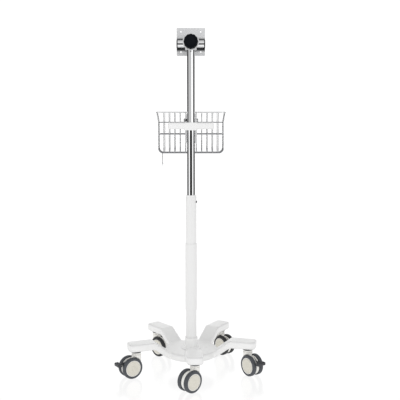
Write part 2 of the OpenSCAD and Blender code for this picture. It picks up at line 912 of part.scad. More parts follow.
base_casting();
ballast_ring();
ballast_screws();
column_foot_plug();
centre_bolt();
centre_washer();
column_boot();
lower_column_tube();
column_spigot();
middle_column_tube();
column_joint_sleeve();
mast_guide_bush();
height_lock_screw();
caster_stems();
swivel_rings();
mast_tube();
mast_slider();
handle_grip();
handle_clamp_half();
handle_clamp_screws();
basket_bracket();
basket_clip();
basket_clip_screw();
basket_rim();
basket_pole_side();
basket_far_side();
basket_left_end();
basket_right_end();
basket_floor();
basket_hook();
head_block();
head_set_screw();
tilt_knob();
tilt_knob_stud();
tilt_bar();
monitor_plate();
caster_hood(FRONT, false);  // front_caster_hood
caster_axle(FRONT);  // front_caster_axle
caster_wheel(FRONT, -1);  // front_caster_wheel_a
caster_wheel(FRONT, 1);  // front_caster_wheel_b
caster_hood(RIGHT, true);  // right_caster_hood
caster_axle(RIGHT);  // right_caster_axle
caster_wheel(RIGHT, -1);  // right_caster_wheel_a
caster_wheel(RIGHT, 1);  // right_caster_wheel_b
caster_pedal(RIGHT);  // right_caster_pedal
caster_hood(REAR_RIGHT, true);  // rear_right_caster_hood
caster_axle(REAR_RIGHT);  // rear_right_caster_axle
caster_wheel(REAR_RIGHT, -1);  // rear_right_caster_wheel_a
caster_wheel(REAR_RIGHT, 1);  // rear_right_caster_wheel_b
caster_pedal(REAR_RIGHT);  // rear_right_caster_pedal
caster_hood(REAR_LEFT, false);  // rear_left_caster_hood
caster_axle(REAR_LEFT);  // rear_left_caster_axle
caster_wheel(REAR_LEFT, -1);  // rear_left_caster_wheel_a
caster_wheel(REAR_LEFT, 1);  // rear_left_caster_wheel_b
caster_hood(LEFT, true);  // left_caster_hood
caster_axle(LEFT);  // left_caster_axle
caster_wheel(LEFT, -1);  // left_caster_wheel_a
caster_wheel(LEFT, 1);  // left_caster_wheel_b
caster_pedal(LEFT);  // left_caster_pedal
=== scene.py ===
import json
import math

import bmesh
import bpy
import numpy as np
from mathutils import Matrix, Vector


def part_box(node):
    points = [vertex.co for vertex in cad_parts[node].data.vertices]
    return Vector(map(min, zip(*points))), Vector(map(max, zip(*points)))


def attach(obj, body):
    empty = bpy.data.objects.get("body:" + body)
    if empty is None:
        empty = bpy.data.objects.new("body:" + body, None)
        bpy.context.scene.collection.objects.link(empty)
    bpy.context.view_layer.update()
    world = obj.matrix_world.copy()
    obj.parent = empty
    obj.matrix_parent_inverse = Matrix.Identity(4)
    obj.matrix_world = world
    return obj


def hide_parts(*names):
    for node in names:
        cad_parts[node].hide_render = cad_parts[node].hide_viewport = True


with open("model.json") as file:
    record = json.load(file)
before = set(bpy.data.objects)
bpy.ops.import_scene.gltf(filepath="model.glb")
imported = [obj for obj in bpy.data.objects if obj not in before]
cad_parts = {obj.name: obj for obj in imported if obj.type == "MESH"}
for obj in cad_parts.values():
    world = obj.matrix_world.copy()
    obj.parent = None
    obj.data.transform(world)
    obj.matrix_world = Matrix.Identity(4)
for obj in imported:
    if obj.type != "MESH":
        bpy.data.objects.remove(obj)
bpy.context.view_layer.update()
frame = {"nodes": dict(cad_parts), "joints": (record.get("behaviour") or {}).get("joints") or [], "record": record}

MM = 0.001
JOINTS = {joint["name"]: joint for joint in frame["joints"]}
CASTERS = ("front", "right", "rear_right", "rear_left", "left")
BRAKED = ("right", "rear_right", "left")

# Wire basket: the beads, how far crossing wires lie apart, each ring below the rim, the bend
# where the floor turns up, and the spaces between uprights in half the width
BEAD_R = 1.9 * MM
WELD_DROP = 2.2 * MM
RING_DROPS = (36 * MM, 78 * MM)
FLOOR_BEND = 16 * MM
BAYS = 6

# Each arm's slope and its level part, outwards from the column, and half its width
ARM_SPANS = ((88 * MM, 152 * MM), (143 * MM, 250 * MM))
ARM_HALF = 29 * MM

# The camera, in metres and degrees, and the cards that the chrome reflects
CAMERA_BACK = 2.545
CAMERA_HEIGHT = 0.921
CAMERA_PITCH = 6.68
CAMERA_YAW = -0.72
CARD_DISTANCE = 1.0
CARD_FOOT, CARD_SPLIT, CARD_TOP = 0.5, 0.88, 1.4


# ---- Measures taken from the frame ----

def middle(node):
    """The middle of a CAD node's box."""
    low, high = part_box(node)
    return (low + high) / 2


def size(node):
    """The size of a CAD node's box."""
    low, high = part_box(node)
    return high - low


def along(node, origin, axis):
    """The nearest and furthest distance of a CAD node from origin along axis."""
    points = np.array([v.co for v in frame["nodes"][node].data.vertices])
    reach = (points - np.array(origin)) @ np.array(axis)
    return reach.min(), reach.max()


COLUMN = Vector((middle("mast_tube").x, middle("lower_column_tube").y, 0))


# ---- Mesh helpers ----

def rounded(points, radii, steps=5):
    """An open outline with each inner corner replaced by an arc of its radius."""
    points = [Vector(p) for p in points]
    if not hasattr(radii, "__len__"):
        radii = [radii] * (len(points) - 2)
    path = [points[0]]
    last = len(radii) - 1
    for k, radius in enumerate(radii):
        before, corner, after = points[k:k + 3]
        back, ahead = before - corner, after - corner
        half = back.angle(ahead) / 2
        cut = min(radius / math.tan(half), (0.49 if k else 0.999) * back.length,
                  (0.49 if k < last else 0.999) * ahead.length)
        if radius <= 0 or half > math.radians(89):
            path.append(corner)
            continue
        middle_way = (back.normalized() + ahead.normalized()).normalized()
        centre = corner + middle_way * cut / math.cos(half)
        start = corner + back.normalized() * cut - centre
        end = corner + ahead.normalized() * cut - centre
        turn = start.angle(end)
        for step in range(steps + 1):
            share = step / steps
            arm = start * math.sin((1 - share) * turn) + end * math.sin(share * turn)
            path.append(centre + arm / math.sin(turn))
    path.append(points[-1])
    return path


def ring_outline(points, radii, steps=5):
    """A closed outline with its corners rounded. Each corner may have its own radius."""
    points = [Vector(p) for p in points]
    if not hasattr(radii, "__len__"):
        radii = [radii] * len(points)
    start = (points[-1] + points[0]) / 2
    opened = rounded([start] + points + [start], radii, steps)
    return opened[1:] if (opened[0] - opened[-1]).length < 1e-9 else opened


def facing(origin, axis):
    """A frame at origin with Z along a level axis and X upwards."""
    z = Vector(axis).normalized()
    y = z.cross(Vector((0, 0, 1))).normalized()
    x = y.cross(z)
    turn = Matrix((x, y, z)).transposed().to_4x4()
    return Matrix.Translation(origin) @ turn


def add_turned(bm, outline, place, closed=False, segments=64):
    """Turns (radius, height) stations about the Z axis of place. A radius may be a function
    of the angle. A station of radius 0 is a pole."""
    rings = []
    for radius, height in outline:
        if not callable(radius) and radius < 1e-7:
            rings.append([bm.verts.new(place @ Vector((0, 0, height)))] * segments)
            continue
        ring = []
        for k in range(segments):
            angle = 2 * math.pi * k / segments
            r = radius(angle) if callable(radius) else radius
            spot = Vector((r * math.cos(angle), r * math.sin(angle), height))
            ring.append(bm.verts.new(place @ spot))
        rings.append(ring)
    if closed:
        rings.append(rings[0])
    for lower, upper in zip(rings, rings[1:]):
        for k in range(segments):
            n = (k + 1) % segments
            corners = list(dict.fromkeys([lower[k], lower[n], upper[n], upper[k]]))
            if len(corners) > 2:
                bm.faces.new(corners)


def turned(outline, place, closed=False, segments=64):
    """A bmesh that holds one turned shape."""
    bm = bmesh.new()
    add_turned(bm, outline, place, closed, segments)
    return bm


def add_wire(bm, path, radius, closed=False, sides=12):
    """A round wire along the path, with domed ends unless it is closed."""
    path = [Vector(p) for p in path]
    count = len(path)
    ahead = []
    for k in range(count):
        before = path[(k - 1) % count] if closed or k else path[0]
        after = path[(k + 1) % count] if closed or k < count - 1 else path[-1]
        ahead.append((after - before).normalized())
    side = ahead[0].orthogonal().normalized()
    if closed:
        side = Vector((0, 0, 1))
    stations = []
    for spot, tangent in zip(path, ahead):
        side = (side - tangent * side.dot(tangent)).normalized()
        stations.append((spot, tangent, side.copy(), radius))
    if not closed:
        stations = dome(stations[0], -1) + stations + dome(stations[-1], 1)[::-1]
    rings = []
    for spot, tangent, side, r in stations:
        other = tangent.cross(side)
        turns = [2 * math.pi * k / sides for k in range(sides)]
        rings.append([bm.verts.new(spot + side * (r * math.cos(a)) + other * (r * math.sin(a)))
                      for a in turns])
    if closed:
        rings.append(rings[0])
    else:
        bm.faces.new(rings[0][::-1])
        bm.faces.new(rings[-1])
    for lower, upper in zip(rings, rings[1:]):
        for k in range(sides):
            n = (k + 1) % sides
            bm.faces.new((lower[k], lower[n], upper[n], upper[k]))


def dome(station, way):
    """Shrinking stations outside a wire's end, from the outermost one inwards."""
    spot, tangent, side, radius = station
    steps = [math.radians(a) for a in (75, 50, 25)]
    return [(spot + tangent * (way * radius * math.sin(a)), tangent, side,
             radius * math.cos(a)) for a in steps]


def add_bead(bm, centre, radius, flat=1.0):
    """A small round weld bead."""
    place = Matrix.Translation(centre) @ Matrix.Diagonal((1, 1, flat, 1))
    bmesh.ops.create_icosphere(bm, subdivisions=2, radius=radius, matrix=place)


def add_slab(bm, outline, thickness, place=Matrix(), holes=()):
    """A plate with the outline in the XY plane of place, rising to thickness, with holes."""
    rims = [[bm.verts.new((p[0], p[1], 0)) for p in ring] for ring in (outline, *holes)]
    edges = [bm.edges.new((ring[k - 1], ring[k])) for ring in rims for k in range(len(ring))]
    filled = bmesh.ops.triangle_fill(bm, edges=edges, use_beauty=True)
    faces = [f for f in filled["geom"] if isinstance(f, bmesh.types.BMFace)]
    raised = bmesh.ops.extrude_face_region(bm, geom=faces)["geom"]
    top = [v for v in raised if isinstance(v, bmesh.types.BMVert)]
    bmesh.ops.translate(bm, verts=top, vec=(0, 0, thickness))
    every = [v for ring in rims for v in ring] + top
    bmesh.ops.transform(bm, matrix=place, verts=every)


def circle(x, y, radius, count=32):
    """Points round a circle."""
    turns = [2 * math.pi * k / count for k in range(count)]
    return [(x + radius * math.cos(a), y + radius * math.sin(a)) for a in turns]


def made(name, bm):
    """The object of a bmesh, with its faces turned outwards."""
    bmesh.ops.recalc_face_normals(bm, faces=bm.faces)
    mesh = bpy.data.meshes.new(name)
    bm.to_mesh(mesh)
    bm.free()
    obj = bpy.data.objects.new(name, mesh)
    bpy.context.scene.collection.objects.link(obj)
    return obj


def applied(obj):
    """obj with its modifiers made part of its mesh."""
    graph = bpy.context.evaluated_depsgraph_get()
    mesh = bpy.data.meshes.new_from_object(obj.evaluated_get(graph))
    obj.modifiers.clear()
    obj.data = mesh
    return obj


def bevelled(obj, width, steps=3):
    """obj with its sharp edges rounded to width."""
    bevel = obj.modifiers.new("edges", "BEVEL")
    bevel.width = width
    bevel.segments = steps
    bevel.limit_method = "ANGLE"
    bevel.angle_limit = math.radians(35)
    return applied(obj)


def softened(name, nodes, voxel, passes, keep=0.5, extra=None):
    """The joined shape of some CAD nodes with every edge rounded, as in a moulding or a
    casting. extra(bm) may add more shapes first."""
    bm = bmesh.new()
    for node in nodes:
        bm.from_mesh(frame["nodes"][node].data)
    bmesh.ops.remove_doubles(bm, verts=bm.verts, dist=1e-6)
    if extra:
        extra(bm)
    obj = made(name, bm)
    remesh = obj.modifiers.new("grid", "REMESH")
    remesh.mode = "VOXEL"
    remesh.voxel_size = voxel
    smooth = obj.modifiers.new("smooth", "SMOOTH")
    smooth.factor = 0.5
    smooth.iterations = passes
    lighten = obj.modifiers.new("lighten", "DECIMATE")
    lighten.ratio = keep
    return applied(obj)


# ---- Materials ----

class Surface:
    """A principled material whose colour, roughness and bump come from noise in metres."""

    def __init__(self, name, colour, roughness, metallic=0.0, **sockets):
        self.material = bpy.data.materials.new(name)
        self.material.use_nodes = True
        self.material.diffuse_color = (*colour, 1)
        self.tree = self.material.node_tree
        self.shader = self.tree.nodes["Principled BSDF"]
        self.colour = colour
        self.shader.inputs["Base Color"].default_value = (*colour, 1)
        self.shader.inputs["Roughness"].default_value = roughness
        self.shader.inputs["Metallic"].default_value = metallic
        for socket, value in sockets.items():
            self.shader.inputs[socket.replace("_", " ")].default_value = value
        self.place = self.tree.nodes.new("ShaderNodeTexCoord").outputs["Object"]

    def link(self, start, end):
        self.tree.links.new(start, end)

    def noise(self, scale, detail=3.0, stretch=None):
        """Noise from 0 to 1, with scale features a metre, stretched along each axis."""
        node = self.tree.nodes.new("ShaderNodeTexNoise")
        node.inputs["Scale"].default_value = scale
        node.inputs["Detail"].default_value = detail
        place = self.place
        if stretch:
            mapping = self.tree.nodes.new("ShaderNodeMapping")
            mapping.inputs["Scale"].default_value = stretch
            self.link(place, mapping.inputs["Vector"])
            place = mapping.outputs["Vector"]
        self.link(place, node.inputs["Vector"])
        return node.outputs["Fac"]

    def cells(self, scale):
        """A cell pattern, with scale cells a metre."""
        node = self.tree.nodes.new("ShaderNodeTexVoronoi")
        node.inputs["Scale"].default_value = scale
        self.link(self.place, node.inputs["Vector"])
        return node.outputs["Distance"]

    def rings(self, scale, direction, centre):
        """Fine rings about a line through centre, as a lathe leaves them."""
        shift = self.tree.nodes.new("ShaderNodeMapping")
        shift.inputs["Location"].default_value = -Vector(centre)
        self.link(self.place, shift.inputs["Vector"])
        node = self.tree.nodes.new("ShaderNodeTexWave")
        node.wave_type = "RINGS"
        node.rings_direction = direction
        node.inputs["Scale"].default_value = scale
        node.inputs["Distortion"].default_value = 0.4
        self.link(shift.outputs["Vector"], node.inputs["Vector"])
        return node.outputs["Fac"]

    def worked_out(self, operation, one, other):
        """The result of a math node on values or numbers."""
        node = self.tree.nodes.new("ShaderNodeMath")
        node.operation = operation
        for value, socket in zip((one, other), node.inputs):
            if isinstance(value, bpy.types.NodeSocket):
                self.link(value, socket)
            else:
                socket.default_value = value
        return node.outputs["Value"]

    def far_from(self, spot, axis):
        """The distance along an axis from a spot."""
        split = self.tree.nodes.new("ShaderNodeSeparateXYZ")
        self.link(self.place, split.inputs["Vector"])
        ahead = self.worked_out("SUBTRACT", split.outputs[axis], spot)
        return self.worked_out("ABSOLUTE", ahead, 0)

    def edges(self):
        """High on outer edges."""
        return self.tree.nodes.new("ShaderNodeNewGeometry").outputs["Pointiness"]

    def spread(self, value, low, high, start=0.3, end=0.7):
        """value from start..end brought to low..high."""
        node = self.tree.nodes.new("ShaderNodeMapRange")
        for socket, number in zip(("From Min", "From Max", "To Min", "To Max"),
                                  (start, end, low, high)):
            node.inputs[socket].default_value = number
        self.link(value, node.inputs["Value"])
        return node.outputs["Result"]

    def tint(self, value, colour, amount):
        """Mixes colour in where value is high."""
        mix = self.tree.nodes.new("ShaderNodeMix")
        mix.data_type = "RGBA"
        base = self.shader.inputs["Base Color"]
        if base.links:
            self.link(base.links[0].from_socket, mix.inputs["A"])
        mix.inputs["A"].default_value = (*self.colour, 1)
        mix.inputs["B"].default_value = (*colour, 1)
        self.link(self.spread(value, 0, amount), mix.inputs["Factor"])
        self.link(mix.outputs["Result"], base)
        return self

    def gloss(self, value, low, high):
        """Roughness from low to high as value rises."""
        self.link(self.spread(value, low, high), self.shader.inputs["Roughness"])
        return self

    def relief(self, value, height):
        """A bump of height metres, added to any that is already there."""
        bump = self.tree.nodes.new("ShaderNodeBump")
        bump.inputs["Distance"].default_value = height
        bump.inputs["Strength"].default_value = 1.0
        normal = self.shader.inputs["Normal"]
        if normal.links:
            self.link(normal.links[0].from_socket, bump.inputs["Normal"])
        self.link(value, bump.inputs["Height"])
        self.link(bump.outputs["Normal"], normal)
        return self


def white_paint():
    s = Surface("white_powder_coat", (0.80, 0.80, 0.795), 0.34, Coat_Weight=0.1)
    # Painted shade: the convex edges are darkened to grey, for the soft shaded outlines along them.
    s.tint(s.spread(s.edges(), 0.3, 0.7, 0.505, 0.54), (0.64, 0.64, 0.645), 0.6)
    s.gloss(s.noise(60), 0.28, 0.42)
    return s.relief(s.noise(700, 2), 0.00004).material


def white_plastic():
    s = Surface("white_moulded_plastic", (0.80, 0.80, 0.80), 0.32)
    s.tint(s.noise(14), (0.77, 0.77, 0.768), 0.5)
    s.gloss(s.noise(90), 0.26, 0.4)
    return s.relief(s.noise(1500, 2), 0.00002).material


def chrome_tube():
    s = Surface("mirror_chrome", (0.90, 0.905, 0.91), 0.06, 1.0)
    s.gloss(s.noise(45, 4), 0.02, 0.06)
    s.tint(s.noise(12), (0.86, 0.865, 0.875), 0.5)
    return s.relief(s.noise(25, 2, (60, 60, 1)), 0.0000015).material


def bar_painted_reflection():
    """Chrome with a painted reflection: a dark line along the bar."""
    s = Surface("chrome_bar_painted_reflection", (0.90, 0.905, 0.91), 0.1, 1.0)
    s.gloss(s.noise(45, 4), 0.06, 0.14)
    line = s.far_from(JOINTS["head_tilt"]["pos_m"][2] + 0.0005, "Z")
    # Painted reflection: the dark stripe along the chrome bar, near the height of the tilt axis.
    s.tint(s.spread(line, 1, 0, 0.001, 0.003), (0.10, 0.102, 0.106), 0.9)
    return s.relief(s.noise(25, 2, (60, 60, 1)), 0.0000015).material


def chrome_wire():
    s = Surface("chromed_wire", (0.88, 0.885, 0.89), 0.2, 1.0)
    s.gloss(s.noise(160, 4), 0.14, 0.28)
    s.tint(s.noise(70), (0.80, 0.805, 0.82), 0.6)
    return s.relief(s.noise(900, 2), 0.00001).material


def wire_painted_shade():
    """Painted shade: a darker copy of the chromed wire, for the level wires."""
    s = Surface("chrome_wire_painted_shade", (0.34, 0.345, 0.36), 0.3, 1.0)
    s.gloss(s.noise(160, 4), 0.24, 0.4)
    s.tint(s.noise(120), (0.22, 0.225, 0.235), 0.7)
    return s.relief(s.noise(900, 3), 0.00001).material


def polished_block():
    s = Surface("polished_aluminium", (0.91, 0.915, 0.92), 0.14, 1.0)
    s.gloss(s.noise(80, 4), 0.10, 0.2)
    s.tint(s.noise(30), (0.86, 0.865, 0.875), 0.5)
    return s.relief(s.rings(500, "Y", middle("tilt_knob")), 0.000004).material


def brushed_plate():
    """Brushed along its width, with a painted dark band on the bar's side: painted shadow and reflection of the
    bar on the plate.
    """
    s = Surface("brushed_stainless", (0.80, 0.805, 0.815), 0.26, 1.0, Anisotropic=0.5)
    grain = s.noise(60, 3, (0.25, 20, 40))
    s.tint(grain, (0.72, 0.725, 0.735), 0.8)
    # Painted shade: darkens the face towards the bar, near the bar's height, for the bar's shadow and reflection.
    from_bar = s.far_from(JOINTS["head_tilt"]["pos_m"][2], "Z")
    near_bar = s.spread(from_bar, 1, 0, 0.012, 0.031)
    from_face = s.far_from(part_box("monitor_plate")[1].y, "Y")
    bar_side = s.spread(from_face, 0, 1, 0.0015, 0.0025)
    s.tint(s.worked_out("MULTIPLY", near_bar, bar_side), (0.05, 0.052, 0.055), 1)
    s.gloss(grain, 0.22, 0.34)
    return s.relief(grain, 0.000003).material


def plated_steel():
    s = Surface("zinc_plated_steel", (0.60, 0.605, 0.61), 0.3, 1.0)
    s.tint(s.cells(220), (0.50, 0.505, 0.51), 0.7)
    s.gloss(s.noise(200), 0.24, 0.42)
    return s.relief(s.noise(800, 3), 0.00001).material


def satin_zinc():
    """The satin coat of the basket's bracket."""
    s = Surface("satin_zinc", (0.78, 0.785, 0.79), 0.42, 0.35)
    s.tint(s.cells(180), (0.70, 0.705, 0.71), 0.6)
    s.gloss(s.noise(180), 0.34, 0.5)
    return s.relief(s.noise(800, 3), 0.00001).material


def cast_ballast():
    s = Surface("painted_cast_iron", (0.05, 0.05, 0.053), 0.6)
    s.tint(s.noise(35), (0.085, 0.082, 0.08), 0.6)
    s.gloss(s.noise(120), 0.5, 0.75)
    return s.relief(s.noise(350, 4), 0.0003).material


def black_plastic():
    s = Surface("black_grained_plastic", (0.003, 0.004, 0.006), 0.42, Specular_IOR_Level=0.05)
    s.tint(s.noise(60), (0.007, 0.008, 0.011), 0.5)
    s.gloss(s.noise(300), 0.34, 0.5)
    return s.relief(s.cells(1400), 0.00005).material


def black_screw():
    s = Surface("black_oxide_steel", (0.02, 0.02, 0.022), 0.35, 0.7)
    s.tint(s.noise(400), (0.05, 0.048, 0.046), 0.5)
    s.gloss(s.noise(500), 0.28, 0.5)
    return s.relief(s.noise(1800, 2), 0.00001).material


def grey_plastic():
    s = Surface("grey_nylon", (0.35, 0.35, 0.36), 0.45)
    s.tint(s.noise(60), (0.31, 0.31, 0.32), 0.5)
    s.gloss(s.noise(200), 0.38, 0.55)
    return s.relief(s.noise(1200, 2), 0.00003).material


def dark_plastic():
    s = Surface("dark_moulded_plastic", (0.030, 0.032, 0.037), 0.42)
    s.tint(s.noise(50), (0.05, 0.052, 0.058), 0.5)
    s.gloss(s.noise(200), 0.34, 0.52)
    return s.relief(s.cells(1100), 0.00005).material


def pale_plastic():
    """The lighter plastic of the wheels' cores and the casters' forks and collars."""
    s = Surface("pale_moulded_plastic", (0.82, 0.81, 0.775), 0.34)
    s.tint(s.noise(40), (0.78, 0.77, 0.73), 0.5)
    s.gloss(s.noise(150), 0.28, 0.42)
    return s.relief(s.noise(1300, 2), 0.00003).material


def cream_plastic():
    s = Surface("cream_moulded_plastic", (0.66, 0.635, 0.56), 0.36)
    s.tint(s.noise(40), (0.61, 0.585, 0.51), 0.5)
    s.gloss(s.noise(150), 0.3, 0.45)
    return s.relief(s.noise(1300, 2), 0.00003).material


def grey_tyre():
    s = Surface("slate_grey_rubber", (0.048, 0.053, 0.062), 0.55)
    s.tint(s.noise(70, 5), (0.075, 0.08, 0.09), 0.6)
    # Painted shade: the tyre's rounded shoulders are darkened.
    s.tint(s.spread(s.edges(), 0.3, 0.7, 0.51, 0.56), (0.022, 0.024, 0.028), 0.8)
    s.gloss(s.noise(250), 0.45, 0.68)
    return s.relief(s.noise(1600, 3), 0.00004).material


def tyre_painted_shade():
    # Painted shade: a darker copy of the tyre rubber, for the rear wheels, which sit in shade under the arms.
    s = Surface("rubber_painted_shade", (0.010, 0.011, 0.012), 0.5)
    s.tint(s.noise(70, 5), (0.022, 0.023, 0.025), 0.6)
    s.gloss(s.noise(160), 0.42, 0.6)
    return s.relief(s.noise(600, 3), 0.00004).material


MATERIALS = {make.__name__: make() for make in (
    white_paint, white_plastic, chrome_tube, bar_painted_reflection, chrome_wire, wire_painted_shade, polished_block,
    brushed_plate, plated_steel, satin_zinc, cast_ballast, black_plastic, black_screw,
    grey_plastic, dark_plastic, pale_plastic, cream_plastic, grey_tyre, tyre_painted_shade)}


def finish_cad_nodes():
    """Every CAD node takes the material of its slot in the record."""
    slots = {part["node"]: part["material_slot"] for part in frame["record"]["subparts"]}
    for name, node in frame["nodes"].items():
        node.data.materials.clear()
        node.data.materials.append(MATERIALS[slots[name]])


def piece(obj, slot, body, nodes=(), sharp=38, look=None):
    """Shades obj and lets it ride on its body in place of the CAD nodes. Its material is its
    slot's, unless look names another."""
    obj.data.materials.clear()
    obj.data.materials.append(MATERIALS[look or slot])
    obj.data.shade_smooth()
    if sharp:
        obj.data.set_sharp_from_angle(angle=math.radians(sharp))
        even = obj.modifiers.new("even", "WEIGHTED_NORMAL")
        even.keep_sharp = True
        applied(obj)
    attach(obj, body)
    if nodes:
        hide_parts(*nodes)


def placed(bm, name, slot, body, nodes=(), edge=None, sharp=38, look=None):
    """A finished piece from a bmesh, with its sharp edges rounded to edge if it is given."""
    obj = made(name, bm)
    if edge:
        bevelled(obj, edge)
    piece(obj, slot, body, nodes, sharp, look)


# ---- Base and column ----

def solid_arms(bm):
    """Fills the channels under the arms, so that softening rounds the arms without thinning
    their walls: a hull of each arm's slope, and one of its level part."""
    corners = [v.co.copy() for v in bm.verts]
    for name in CASTERS:
        stem = Vector(JOINTS[name + "_swivel"]["pos_m"]) - COLUMN
        out = Vector((stem.x, stem.y, 0)).normalized()
        across = out.cross(Vector((0, 0, 1)))
        for near, far in ARM_SPANS:
            chosen = [p for p in corners if near < (p - COLUMN).dot(out) < far
                      and abs((p - COLUMN).dot(across)) < ARM_HALF]
            verts = [bm.verts.new(p) for p in chosen]
            hull = bmesh.ops.convex_hull(bm, input=verts)
            spare = set(hull["geom_interior"] + hull["geom_unused"])
            unused = [g for g in spare if isinstance(g, bmesh.types.BMVert)]
            bmesh.ops.delete(bm, geom=unused, context="VERTS")


def base_shell():
    obj = softened("base_shell", ["base_casting"], 2.4 * MM, 26, keep=0.5, extra=solid_arms)
    piece(obj, "white_paint", "base", ["base_casting"], sharp=0)


def column_boot():
    low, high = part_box("column_boot")
    foot = size("column_boot").x / 2
    inner = size("lower_column_tube").x / 2 + 0.1 * MM
    lip = inner + 3.9 * MM
    sweep = foot - lip
    profile = rounded([(inner, low.z), (foot, low.z), (foot, low.z + 2 * MM),
                       (lip, low.z + 2 * MM), (lip, high.z), (inner, high.z)],
                      [0, 0.8 * MM, sweep * 0.98, 1.6 * MM], steps=12)
    bm = turned(profile, Matrix.Translation(COLUMN), closed=True, segments=96)
    placed(bm, "boot", "white_paint", "base", ["column_boot"])


def tube(name, node, slot, body, wall, edge):
    """A tube in place of a CAD tube, with rounded ends."""
    low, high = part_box(node)
    radius = (high.x - low.x) / 2
    profile = ring_outline([(radius - wall, low.z), (radius, low.z), (radius, high.z),
                            (radius - wall, high.z)], edge, steps=4)
    bm = turned(profile, Matrix.Translation(COLUMN), closed=True, segments=96)
    placed(bm, name, slot, body, [node])


def guide_bush():
    low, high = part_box("mast_guide_bush")
    radius = (high.x - low.x) / 2
    bore = size("mast_tube").x / 2 + 0.1 * MM
    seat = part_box("middle_column_tube")[1].z
    skirt = radius - 2 * MM
    profile = ring_outline([(bore, low.z), (skirt, low.z), (skirt, seat), (radius, seat),
                            (radius, high.z), (bore, high.z)],
                           [0, 0.4 * MM, 0, 0.4 * MM, 1.8 * MM, 0.8 * MM])
    bm = turned(profile, Matrix.Translation(COLUMN), closed=True, segments=96)
    placed(bm, "bush_collar", "white_plastic", "base", ["mast_guide_bush"])


def hexagon(across):
    """The radius of a hexagon, by angle."""
    sixth = math.pi / 3
    return lambda angle: across / 2 / math.cos(angle % sixth - sixth / 2)


def add_socket_head(bm, place, radius, height, across):
    """A screw's round head with a hexagonal socket, its underside at Z 0 of place."""
    socket = hexagon(across)
    add_turned(bm, [(0, 0), (radius * 0.92, 0), (radius, 0.15 * height),
                    (radius, 0.7 * height), (radius * 0.86, height),
                    (lambda a: socket(a) * 1.12, height), (socket, 0.9 * height),
                    (socket, 0.35 * height), (0, 0.3 * height)], place, segments=36)


def lock_screw():
    """The small socket screw that locks the mast's height."""
    node = "height_lock_screw"
    joint = JOINTS["height_lock_turn"]
    axis, origin = joint["axis"], joint["pos_m"]
    near, far = along(node, origin, axis)
    head = size("middle_column_tube").x / 2 + 0.3 * MM
    thread = 3 * MM
    bm = bmesh.new()
    place = facing(Vector(origin), axis)
    add_socket_head(bm, place @ Matrix.Translation((0, 0, head)), thread + 1 * MM,
                    far - head, 3 * MM)
    add_turned(bm, [(0, near), (thread * 0.8, near), (thread, near + 1 * MM),
                    (thread, head), (0, head)], place, segments=36)
    placed(bm, "lock_screw", "black_screw", "height_lock", [node])


# ---- Mast, handle and head ----

def handle():
    grip = softened("grip", ["handle_grip"], 0.9 * MM, 14, keep=0.35)
    clamp = softened("clamp_half", ["handle_clamp_half"], 0.9 * MM, 6, keep=0.3)
    for obj, node in ((grip, "handle_grip"), (clamp, "handle_clamp_half")):
        piece(obj, "white_plastic", "mast", [node], sharp=0)


def handle_screws():
    """Two long screws, each with a hexagon head behind the bracket's web."""
    low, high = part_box("handle_clamp_screws")
    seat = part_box("basket_bracket")[0].y + 2.5 * MM
    head = (high.z - low.z) / 2
    shank = head / 2
    bm = bmesh.new()
    for x in (low.x + head, high.x - head):
        place = facing(Vector((x, 0, (low.z + high.z) / 2)), (0, 1, 0))
        corner = hexagon(1.7 * head)
        add_turned(bm, [(0, low.y), (shank, low.y), (shank, seat), (corner, seat),
                        (corner, high.y - 0.5 * MM), (head * 0.72, high.y), (0, high.y)],
                   place, segments=36)
    placed(bm, "clamp_screws", "plated_steel", "mast", ["handle_clamp_screws"])


def head_block():
    """The round clamp head with its square foot, and the spigot that sits in the mast."""
    low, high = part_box("head_block")
    centre_z = JOINTS["clamp_knob_turn"]["pos_m"][2]
    disc = (high.x - low.x) / 2
    foot = 20 * MM
    foot_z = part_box("mast_tube")[1].z
    start = math.asin(foot / disc) - math.pi / 2
    turns = np.linspace(start, math.pi - start, 72)
    outline = [(disc * math.cos(a), centre_z + disc * math.sin(a)) for a in turns]
    outline += [(-foot, foot_z), (foot, foot_z)]
    bm = bmesh.new()
    place = Matrix(((1, 0, 0, COLUMN.x), (0, 0, -1, high.y), (0, 1, 0, 0), (0, 0, 0, 1)))
    add_slab(bm, outline, high.y - low.y, place)
    obj = bevelled(made("clamp_head", bm), 2.2 * MM, steps=5)
    bm = bmesh.new()
    bm.from_mesh(obj.data)
    bpy.data.objects.remove(obj)
    spigot = size("mast_tube").x / 2 - 1.5 * MM
    add_turned(bm, [(0, low.z), (spigot - 1 * MM, low.z), (spigot, low.z + 1 * MM),
                    (spigot, foot_z + 2 * MM), (0, foot_z + 2 * MM)],
               Matrix.Translation(COLUMN))
    placed(bm, "clamp_head", "polished_block", "mast", ["head_block"])


def set_screw():
    """The socket set screw at the top of the mast."""
    low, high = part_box("head_set_screw")
    radius = (high.z - low.z) / 2
    centre = middle("head_set_screw")
    socket = hexagon(radius)
    depth = high.y - low.y
    place = facing(Vector((centre.x, high.y, centre.z)), (0, -1, 0))
    bm = turned([(0, 0), (radius * 0.85, 0), (radius, 0.5 * MM),
                 (radius, depth - 0.4 * MM), (radius * 0.86, depth), (socket, depth),
                 (socket, depth - 2 * MM), (0, depth - 2.5 * MM)], place, segments=36)
    placed(bm, "set_screw", "black_screw", "mast", ["head_set_screw"])


